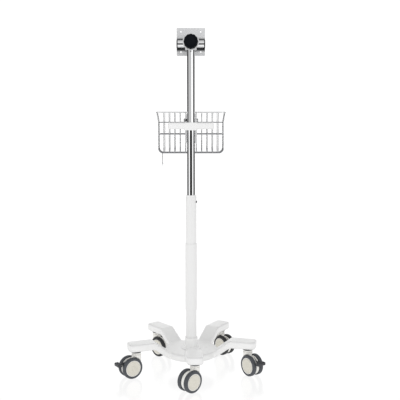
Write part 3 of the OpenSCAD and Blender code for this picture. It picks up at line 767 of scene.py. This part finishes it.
def tilt_knob():
    """The round knob with twelve shallow lobes and a stepped cap."""
    low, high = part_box("tilt_knob")
    joint = JOINTS["clamp_knob_turn"]
    radius = size("tilt_knob").x / 2
    back, front = -high.y, -low.y
    rim = front - 4 * MM
    root = back + 5.5 * MM

    def lobed(base, depth):
        return lambda angle: base - depth * (1 - abs(math.cos(6 * angle))) ** 1.5

    outline = [(0, back), (11.6 * MM, back), (12 * MM, back + 0.5 * MM), (12 * MM, root),
               (radius - 4.5 * MM, root), (lobed(radius - 1.4 * MM, 0.7 * MM), root + 0.6 * MM),
               (lobed(radius - 0.3 * MM, 1.1 * MM), root + 2 * MM),
               (lobed(radius, 1.3 * MM), root + 4 * MM), (lobed(radius, 1.3 * MM), rim - 3 * MM),
               (lobed(radius - 0.4 * MM, 1.2 * MM), rim - 0.8 * MM),
               (lobed(radius - 1.4 * MM, 0.9 * MM), rim + 0.9 * MM),
               (lobed(radius - 3.2 * MM, 0.4 * MM), rim + 2.2 * MM),
               (radius - 5 * MM, rim + 2.9 * MM), (radius - 6.6 * MM, rim + 3.1 * MM),
               (radius - 7 * MM, rim + 2.3 * MM), (radius - 7.8 * MM, rim + 2.2 * MM),
               (radius - 8.3 * MM, rim + 3.1 * MM), (radius - 9.5 * MM, front - 0.5 * MM),
               (radius * 0.3, front), (0, front)]
    centre = Vector(joint["pos_m"])
    bm = turned(outline, facing(Vector((centre.x, 0, centre.z)), (0, -1, 0)), segments=144)
    placed(bm, "knob", "black_plastic", "clamp_knob", ["tilt_knob"], sharp=50)


def tilt_bar():
    """The round bar between the plate's lugs, with pins through them."""
    low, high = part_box("tilt_bar")
    centre = middle("tilt_bar")
    radius = (high.z - low.z) / 2
    half = (high.x - low.x) / 2
    lug = 3 * MM
    pin = 5 * MM
    ends = rounded([(0, -half), (pin, -half), (pin, lug - half), (radius, lug - half),
                    (radius, half - lug), (pin, half - lug), (pin, half), (0, half)],
                   [0.8 * MM, 0, 1 * MM, 1 * MM, 0, 0.8 * MM])
    bm = turned(ends, facing(centre, (1, 0, 0)), segments=72)
    # Its look has a painted reflection: a dark line along the bar.
    placed(bm, "crossbar", "chrome_tube", "tilt_head", ["tilt_bar"], look="bar_painted_reflection")


def monitor_plate():
    """The plate with its four bolt holes and the two lugs that the bar is pinned to."""
    low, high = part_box("monitor_plate")
    bolts = next(m for m in frame["record"]["mounts"] if m["name"] == "monitor_bolts")
    spacing = bolts["dims"]["spacing_x_mm"] * MM
    hole = bolts["dims"]["hole_r_mm"] * MM
    thick = 3 * MM
    lug_r = 14 * MM
    axis = Vector(JOINTS["head_tilt"]["pos_m"])
    mid_z = (low.z + high.z) / 2
    outline = ring_outline([(low.x, low.z), (high.x, low.z), (high.x, high.z),
                            (low.x, high.z)], 2.5 * MM, steps=6)
    holes = [circle(x * spacing / 2, mid_z + z * spacing / 2, hole)
             for x in (-1, 1) for z in (-1, 1)]
    flat = Matrix(((1, 0, 0, 0), (0, 0, -1, high.y), (0, 1, 0, 0), (0, 0, 0, 1)))
    bm = bmesh.new()
    add_slab(bm, outline, thick, flat, holes)
    turns = np.linspace(math.pi / 2, 3 * math.pi / 2, 28)
    lug = [(axis.y + lug_r * math.cos(a), axis.z + lug_r * math.sin(a)) for a in turns]
    lug += [(high.y - thick / 2, axis.z - lug_r), (high.y - thick / 2, axis.z + lug_r)]
    for x in (low.x, high.x - thick):
        side = Matrix(((0, 0, 1, x), (1, 0, 0, 0), (0, 1, 0, 0), (0, 0, 0, 1)))
        add_slab(bm, lug, thick, side)
    placed(bm, "plate", "brushed_plate", "tilt_head", ["monitor_plate"], edge=0.5 * MM)


# ---- Basket ----

def basket_measures():
    """The basket's sizes, from the boxes of its CAD nodes."""
    low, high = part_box("basket_rim")
    rim_r = (high.z - low.z) / 2
    floor_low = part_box("basket_floor")[0].z
    wire_r = 1.4 * MM
    flare = 6 * MM
    return {"x": high.x - rim_r, "y0": low.y + rim_r, "y1": high.y - rim_r,
            "half": high.x - rim_r - flare, "near": low.y + rim_r + flare,
            "far": high.y - rim_r - flare,
            "rim_z": (low.z + high.z) / 2, "rim_r": rim_r, "wire_r": wire_r,
            "flare": flare, "floor_z": floor_low + wire_r + WELD_DROP}


def loop_path(x, y0, y1, z, corner):
    """A closed rounded rectangle at height z."""
    outline = ring_outline([(-x, y0), (x, y0), (x, y1), (-x, y1)], corner, steps=8)
    return [(COLUMN.x + p[0], p[1], z) for p in outline]


def rim_wire(b):
    bm = bmesh.new()
    add_wire(bm, loop_path(b["x"], b["y0"], b["y1"], b["rim_z"], 16 * MM), b["rim_r"],
             closed=True, sides=16)
    placed(bm, "rim_wire", "chrome_wire", "mast", ["basket_rim"])


def upright(bm, b, foot, out):
    """An upright wire from the floor's bend to the rim, leaning outwards at its top."""
    foot, out = Vector(foot), Vector(out)
    knee = b["rim_z"] - 34 * MM
    lean_r = 60 * MM
    path = [foot, Vector((foot.x, foot.y, knee)),
            Vector((foot.x, foot.y, b["rim_z"] - 0.6 * b["rim_r"])) + out * b["flare"]]
    add_wire(bm, rounded(path, lean_r, steps=6), b["wire_r"], sides=10)
    add_bead(bm, path[-1] - out * 0.8 * MM, BEAD_R, 0.8)


def basket_sides(b):
    """The uprights and the two rings of each side, welded where they cross."""
    half, y0, y1 = b["half"], b["near"], b["far"]
    pitch = half / BAYS
    rings = [b["rim_z"] - drop for drop in RING_DROPS]
    corner = 10 * MM
    foot_z = b["floor_z"] + FLOOR_BEND
    for name, y, out in (("pole_side", y0, -1), ("far_side", y1, 1)):
        bm = bmesh.new()
        for k in range(1 - BAYS, BAYS):
            upright(bm, b, (k * pitch, y, foot_z), (0, out, 0))
            for z in rings:
                add_bead(bm, Vector((k * pitch, y - out * WELD_DROP / 2, z)), BEAD_R)
        placed(bm, name + "_wires", "chrome_wire", "mast", ["basket_" + name])
        reach = half - WELD_DROP - corner
        bm = bmesh.new()
        for z in rings:
            add_wire(bm, [(-reach, y - out * WELD_DROP, z), (reach, y - out * WELD_DROP, z)],
                     b["wire_r"], sides=10)
        # The level rings take the darker wire look, which is painted shade.
        placed(bm, name + "_rings", "chrome_wire", "mast", look="wire_painted_shade")
    for name, out in (("left_end", -1), ("right_end", 1)):
        bm = bmesh.new()
        x = out * half
        for k in range(1, BAYS):
            y = y0 + k * (y1 - y0) / BAYS
            upright(bm, b, (x, y, foot_z), (out, 0, 0))
            for z in rings:
                add_bead(bm, Vector((x - out * WELD_DROP / 2, y, z)), BEAD_R)
        placed(bm, name + "_wires", "chrome_wire", "mast", ["basket_" + name])
        inner = x - out * WELD_DROP
        bm = bmesh.new()
        for z in rings:
            path = [(inner - out * corner, y0 + WELD_DROP, z), (inner, y0 + WELD_DROP, z),
                    (inner, y1 - WELD_DROP, z), (inner - out * corner, y1 - WELD_DROP, z)]
            add_wire(bm, rounded(path, corner, steps=8), b["wire_r"], sides=10)
        # The level rings take the darker wire look, which is painted shade.
        placed(bm, name + "_rings", "chrome_wire", "mast", look="wire_painted_shade")


def basket_floor(b):
    """Floor wires both ways, their ends turned up into the uprights, welded at each cross."""
    half, y0, y1 = b["half"], b["near"], b["far"]
    z = b["floor_z"]
    top = z + FLOOR_BEND
    low, low_top = z - WELD_DROP, top - WELD_DROP
    bm = bmesh.new()
    rows = [y0 + k * (y1 - y0) / BAYS for k in range(1, BAYS)]
    columns = [k * half / BAYS for k in range(1 - BAYS, BAYS)]
    for x in columns:
        path = [(x, y0, top), (x, y0, z), (x, y1, z), (x, y1, top)]
        add_wire(bm, rounded(path, FLOOR_BEND, steps=8), b["wire_r"], sides=10)
    for y in rows:
        path = [(-half, y, low_top), (-half, y, low), (half, y, low), (half, y, low_top)]
        add_wire(bm, rounded(path, FLOOR_BEND, steps=8), b["wire_r"], sides=10)
        for x in columns:
            add_bead(bm, Vector((x, y, z - WELD_DROP / 2)), 1.8 * MM)
    # The floor wires take the darker wire look, which is painted shade.
    placed(bm, "floor_wires", "chrome_wire", "mast", ["basket_floor"], look="wire_painted_shade")


def basket_hook(b):
    """The drip hook under the floor, with a ball on its end."""
    low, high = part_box("basket_hook")
    x = (low.x + high.x) / 2
    bend = 7 * MM
    foot = low.z + b["wire_r"]
    y = low.y + b["wire_r"]
    ball = Vector((x, y + 2 * bend, foot + bend))
    path = [(x, y, high.z), (x, y, foot), (x, y + 2 * bend, foot), ball]
    bm = bmesh.new()
    add_wire(bm, rounded(path, bend * 0.999, steps=12), b["wire_r"], sides=14)
    place = Matrix.Translation(ball)
    bmesh.ops.create_icosphere(bm, subdivisions=3, radius=2.2 * MM, matrix=place)
    placed(bm, "drip_hook", "chrome_wire", "mast", ["basket_hook"])


def basket_bracket():
    """The bent sheet channel between the handle's clamp and the basket."""
    low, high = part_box("basket_bracket")
    sheet = 2.3 * MM
    bend = 3 * MM
    outer = [(low.x, high.y), (low.x, low.y), (high.x, low.y), (high.x, high.y)]
    inner = [(high.x - sheet, high.y), (high.x - sheet, low.y + sheet),
             (low.x + sheet, low.y + sheet), (low.x + sheet, high.y)]
    outline = rounded(outer, bend) + rounded(inner, bend - sheet)
    bm = bmesh.new()
    add_slab(bm, outline, high.z - low.z, Matrix.Translation((0, 0, low.z)))
    flare_height = 32 * MM
    knee = Vector((0, 0, high.z - flare_height))
    bmesh.ops.bisect_plane(bm, geom=bm.verts[:] + bm.edges[:] + bm.faces[:],
                           plane_co=knee, plane_no=(0, 0, 1))
    lean = 5.8 * MM
    for v in bm.verts:
        if v.co.z > high.z - sheet and v.co.y > high.y - sheet:
            v.co.y -= lean
    placed(bm, "bracket", "plated_steel", "mast", ["basket_bracket"], edge=0.4 * MM,
           look="satin_zinc")


def basket_clip():
    """The strip that pinches the wires against the bracket, and its screw."""
    low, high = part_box("basket_clip")
    outline = ring_outline([(low.x, low.z), (high.x, low.z), (high.x, high.z),
                            (low.x, high.z)], 3 * MM)
    bm = bmesh.new()
    upright_plane = Matrix(((1, 0, 0, 0), (0, 0, -1, high.y), (0, 1, 0, 0), (0, 0, 0, 1)))
    add_slab(bm, outline, high.y - low.y, upright_plane)
    placed(bm, "clip", "plated_steel", "mast", ["basket_clip"], edge=0.4 * MM)

    low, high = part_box("basket_clip_screw")
    centre = middle("basket_clip_screw")
    radius = (high.z - low.z) / 2
    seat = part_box("basket_bracket")[0].y
    place = facing(Vector((centre.x, 0, centre.z)), (0, -1, 0))
    bm = bmesh.new()
    add_socket_head(bm, place @ Matrix.Translation((0, 0, -seat)), radius, seat - low.y,
                    0.9 * radius)
    shank = 2.5 * MM
    add_turned(bm, [(0, -high.y), (shank * 0.8, -high.y), (shank, -high.y + 0.6 * MM),
                    (shank, -seat), (0, -seat)], place, segments=36)
    placed(bm, "clip_screw", "black_screw", "mast", ["basket_clip_screw"])


# ---- Casters ----

def swivel_rings():
    """The thin dark seal under each arm, and the pale collar of the bearing below it."""
    low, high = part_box("swivel_rings")
    radius = 17.5 * MM
    bore = 5.6 * MM
    split = low.z + 0.5 * (high.z - low.z)
    seal = ring_outline([(bore, split), (radius, split), (radius, high.z - 2 * MM),
                         (radius - 2 * MM, high.z), (bore, high.z)],
                        [0, 0.4 * MM, 1 * MM, 1 * MM, 0])
    collar = ring_outline([(bore, low.z), (radius - 2.5 * MM, low.z),
                           (radius - 1 * MM, low.z + 1 * MM), (radius - 1 * MM, split),
                           (bore, split)], [0, 0.5 * MM, 0.5 * MM, 0, 0])
    seals, collars = bmesh.new(), bmesh.new()
    for name in CASTERS:
        centre = Vector(JOINTS[name + "_swivel"]["pos_m"])
        for bm, profile in ((seals, seal), (collars, collar)):
            add_turned(bm, profile, Matrix.Translation((centre.x, centre.y, 0)), closed=True)
    placed(seals, "swivel_seals", "dark_plastic", "base", ["swivel_rings"])
    placed(collars, "swivel_collars", "dark_plastic", "base", look="pale_plastic")


def wheel(name, letter):
    """One wheel: a rubber tyre on a moulded core, with a cap over its outer face."""
    node = f"{name}_caster_wheel_{letter}"
    body = f"{name}_wheel_{letter}"
    joint = JOINTS[body + "_spin"]
    centre, axis = Vector(joint["pos_m"]), Vector(joint["axis"])
    if (middle(node) - centre).dot(axis) < 0:
        axis = -axis
    place = facing(centre, axis)
    inner, outer = along(node, centre, axis)
    radius = centre.z
    rim = 29 * MM

    tyre = ring_outline([(rim - 1 * MM, inner + 1.5 * MM), (radius - 3 * MM, inner),
                         (radius, inner + 2.5 * MM), (radius, outer - 2.5 * MM),
                         (radius - 3 * MM, outer), (rim + 2.4 * MM, outer - 0.2 * MM),
                         (rim + 1.8 * MM, outer - 0.9 * MM), (rim - 1 * MM, outer - 1 * MM)],
                        [0.5 * MM, 3.5 * MM, 4 * MM, 4 * MM, 3.5 * MM, 0.4 * MM, 0.3 * MM,
                         0.5 * MM], steps=6)
    bm = turned(tyre, place, closed=True, segments=96)
    # The rear wheels' tyres take the darker look, which is painted shade.
    placed(bm, body + "_tyre", "grey_tyre", body, [node],
           look="tyre_painted_shade" if name.startswith("rear") else None)

    bore = 4.3 * MM
    core = ring_outline([(bore, inner + 0.3 * MM), (9 * MM, inner + 0.3 * MM),
                         (11 * MM, inner + 4 * MM), (rim - 5 * MM, inner + 4 * MM),
                         (rim - 3 * MM, inner + 0.6 * MM), (rim - 0.6 * MM, inner + 0.6 * MM),
                         (rim - 0.6 * MM, outer - 0.3 * MM), (rim - 2.4 * MM, outer - 0.3 * MM),
                         (rim - 3 * MM, outer - 1.8 * MM), (bore, outer - 1.8 * MM)],
                        0.5 * MM, steps=3)
    bm = turned(core, place, closed=True, segments=96)
    placed(bm, body + "_core", "cream_plastic", body, look="pale_plastic")

    face = outer - 0.1 * MM
    cap = [(0, outer - 1.7 * MM), (rim - 3.8 * MM, outer - 1.7 * MM),
           (rim - 3.6 * MM, face - 0.5 * MM), (rim - 4.2 * MM, face),
           (rim - 7 * MM, face), (rim - 9.5 * MM, face - 0.7 * MM),
           (11.5 * MM, face - 0.7 * MM), (9.5 * MM, face), (7.6 * MM, face),
           (7.2 * MM, face - 0.5 * MM), (6.6 * MM, face - 0.5 * MM), (6.2 * MM, face),
           (0, face)]
    bm = turned(rounded(cap, 0.35 * MM, steps=3), place, segments=96)
    placed(bm, body + "_cap", "cream_plastic", body)


def caster(name):
    hood = f"{name}_caster_hood"
    obj = softened(name + "_fork", [hood], 0.8 * MM, 6, keep=0.3)
    piece(obj, "cream_plastic", name + "_caster", [hood], sharp=0, look="pale_plastic")
    for letter in "ab":
        wheel(name, letter)
    if name in BRAKED:
        brake_pedal(name)


def brake_pedal(name):
    """The brake's foot pedal, with ribs across its pad."""
    node = name + "_caster_pedal"
    stem = Vector(JOINTS[name + "_swivel"]["pos_m"])
    pivot = Vector(JOINTS[name + "_pedal_press"]["pos_m"])
    out = (Vector((pivot.x, pivot.y, 0)) - Vector((stem.x, stem.y, 0))).normalized()
    far = along(node, pivot, out)[1]
    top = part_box(node)[1].z

    def ribs(bm):
        across = out.cross(Vector((0, 0, 1))) * 14 * MM
        for k in range(4):
            spot = pivot + out * (far - (3.5 + 3 * k) * MM)
            spot.z = top - 0.2 * MM
            add_wire(bm, [spot - across, spot + across], 0.9 * MM, sides=8)

    obj = softened(name + "_brake", [node], 0.7 * MM, 5, keep=0.35, extra=ribs)
    piece(obj, "dark_plastic", name + "_pedal", [node], sharp=0)


# ---- Studio ----

def camera():
    """The camera stands straight in front, a little above the basket's rim."""
    data = bpy.data.cameras.new("camera")
    data.sensor_width = 36
    data.lens = 64.4
    obj = bpy.data.objects.new("camera", data)
    obj.location = (COLUMN.x, COLUMN.y - CAMERA_BACK, CAMERA_HEIGHT)
    obj.rotation_euler = (math.radians(90 - CAMERA_PITCH), 0, math.radians(CAMERA_YAW))
    bpy.context.scene.collection.objects.link(obj)
    bpy.context.scene.camera = obj


def emitting(name, colour, strength):
    material = bpy.data.materials.new(name)
    material.use_nodes = True
    tree = material.node_tree
    tree.nodes.clear()
    glow = tree.nodes.new("ShaderNodeEmission")
    glow.inputs["Color"].default_value = (*colour, 1)
    glow.inputs["Strength"].default_value = strength
    output = tree.nodes.new("ShaderNodeOutputMaterial")
    tree.links.new(glow.outputs["Emission"], output.inputs["Surface"])
    return material


def arc_card(name, start, end, low, high, shade):
    """A curved card about the column, from start to end degrees round from the front and
    towards +X, as a studio puts round polished metal. Only reflections see it."""
    turns = np.radians(np.linspace(start, end, 2 + int(abs(end - start) / 5)))
    bm = bmesh.new()
    spots = [COLUMN + Vector((math.sin(a), -math.cos(a), 0)) * CARD_DISTANCE for a in turns]
    pairs = [[bm.verts.new((p.x, p.y, z)) for z in (low, high)] for p in spots]
    for left, right in zip(pairs, pairs[1:]):
        bm.faces.new((left[0], right[0], right[1], left[1]))
    obj = made(name, bm)
    obj.data.materials.append(emitting(name, (shade, shade, shade), 1.0))
    obj.visible_camera = False
    obj.visible_diffuse = False
    obj.visible_shadow = False


def backdrop():
    """A white dome behind everything, which lights nothing."""
    bm = bmesh.new()
    bmesh.ops.create_icosphere(bm, subdivisions=3, radius=28)
    obj = made("backdrop", bm)
    obj.data.materials.append(emitting("backdrop", (1, 1, 1), 1.1))
    obj.visible_diffuse = False
    obj.visible_glossy = False
    obj.visible_shadow = False


def floor():
    """A plain white floor with a faint sheen."""
    bm = bmesh.new()
    bmesh.ops.create_grid(bm, x_segments=1, y_segments=1, size=30)
    obj = made("floor", bm)
    material = emitting("floor_white", (1, 1, 1), 1.08)
    tree = material.node_tree
    sheen = tree.nodes.new("ShaderNodeBsdfGlossy")
    sheen.inputs["Roughness"].default_value = 0.2
    top = tree.nodes.new("ShaderNodeMixShader")
    top.inputs["Fac"].default_value = 0.16
    tree.links.new(tree.nodes["Emission"].outputs["Emission"], top.inputs[1])
    tree.links.new(sheen.outputs["BSDF"], top.inputs[2])
    tree.links.new(top.outputs["Shader"], tree.nodes["Material Output"].inputs["Surface"])
    obj.data.materials.append(material)
    obj.visible_diffuse = False


def soft_light(name, place, target, width, power):
    data = bpy.data.lights.new(name, "AREA")
    data.shape = "SQUARE"
    data.size = width
    data.energy = power
    obj = bpy.data.objects.new(name, data)
    obj.location = place
    obj.rotation_euler = (Vector(target) - Vector(place)).to_track_quat("-Z", "Y").to_euler()
    obj.visible_glossy = False
    bpy.context.scene.collection.objects.link(obj)


def sky():
    """An even white light, brightest at the horizon and in front, softer from above."""
    world = bpy.data.worlds.new("studio")
    world.use_nodes = True
    tree = world.node_tree
    place = tree.nodes.new("ShaderNodeTexCoord")
    split = tree.nodes.new("ShaderNodeSeparateXYZ")
    tree.links.new(place.outputs["Generated"], split.inputs["Vector"])
    height = tree.nodes.new("ShaderNodeMapRange")
    for socket, number in (("From Min", -1), ("From Max", 1), ("To Min", 0), ("To Max", 1)):
        height.inputs[socket].default_value = number
    tree.links.new(split.outputs["Z"], height.inputs["Value"])
    ramp = tree.nodes.new("ShaderNodeValToRGB")
    ramp.color_ramp.elements.new(0.5)
    shades = ((0, 0.9), (0.5, 1.52), (1, 0.62))              # straight down, level, straight up
    for stop, (spot, shade) in zip(ramp.color_ramp.elements, shades):
        stop.position = spot
        stop.color = (shade, shade, shade, 1)
    tree.links.new(height.outputs["Result"], ramp.inputs["Fac"])
    sideways = tree.nodes.new("ShaderNodeMath")
    sideways.operation = "ABSOLUTE"
    tree.links.new(split.outputs["X"], sideways.inputs[0])
    strength = tree.nodes.new("ShaderNodeMapRange")
    strength.inputs["To Min"].default_value = 1.0
    strength.inputs["To Max"].default_value = 0.8
    tree.links.new(sideways.outputs["Value"], strength.inputs["Value"])
    background = tree.nodes["Background"]
    tree.links.new(ramp.outputs["Color"], background.inputs["Color"])
    tree.links.new(strength.outputs["Result"], background.inputs["Strength"])
    bpy.context.scene.world = world


def reflection_cards():
    """What the chrome shows. The upper mast has a grey side, a white stripe and dark edges,
    and the lower mast a dark line in front and dark edges."""
    for name, start, end, shade in (
            ("upper_grey", -76, 14, 0.58), ("upper_white", 20, 50, 1.3),
            ("upper_dark", 60, 145, 0.14), ("upper_black", -145, -76, 0.02)):
        arc_card(name, start, end, CARD_SPLIT, CARD_TOP, shade)
    for name, start, end, shade in (
            ("lower_line", -31, 31, 0.002), ("lower_right", 74, 145, 0.01),
            ("lower_left", -145, -74, 0.01)):
        arc_card(name, start, end, CARD_FOOT, CARD_SPLIT, shade)


def studio():
    bpy.context.scene.view_settings.view_transform = "Standard"
    sky()
    backdrop()
    floor()
    reflection_cards()
    soft_light("key", (-1.6, -2.2, 3.0), (0, 0, 0.6), 1.8, 10)


# ---- Everything ----

finish_cad_nodes()
camera()
studio()

base_shell()
column_boot()
tube("lower_tube", "lower_column_tube", "white_paint", "base", 2 * MM, 0.5 * MM)
tube("middle_tube", "middle_column_tube", "white_paint", "base", 2 * MM, 0.5 * MM)
tube("joint_sleeve", "column_joint_sleeve", "white_paint", "base", 1.9 * MM, 0.7 * MM)
guide_bush()
lock_screw()
tube("chrome_mast", "mast_tube", "chrome_tube", "mast", 1.5 * MM, 0.5 * MM)
handle()
handle_screws()
head_block()
set_screw()
tilt_knob()
tilt_bar()
monitor_plate()

basket = basket_measures()
rim_wire(basket)
basket_sides(basket)
basket_floor(basket)
basket_hook(basket)
basket_bracket()
basket_clip()

swivel_rings()
for caster_name in CASTERS:
    caster(caster_name)
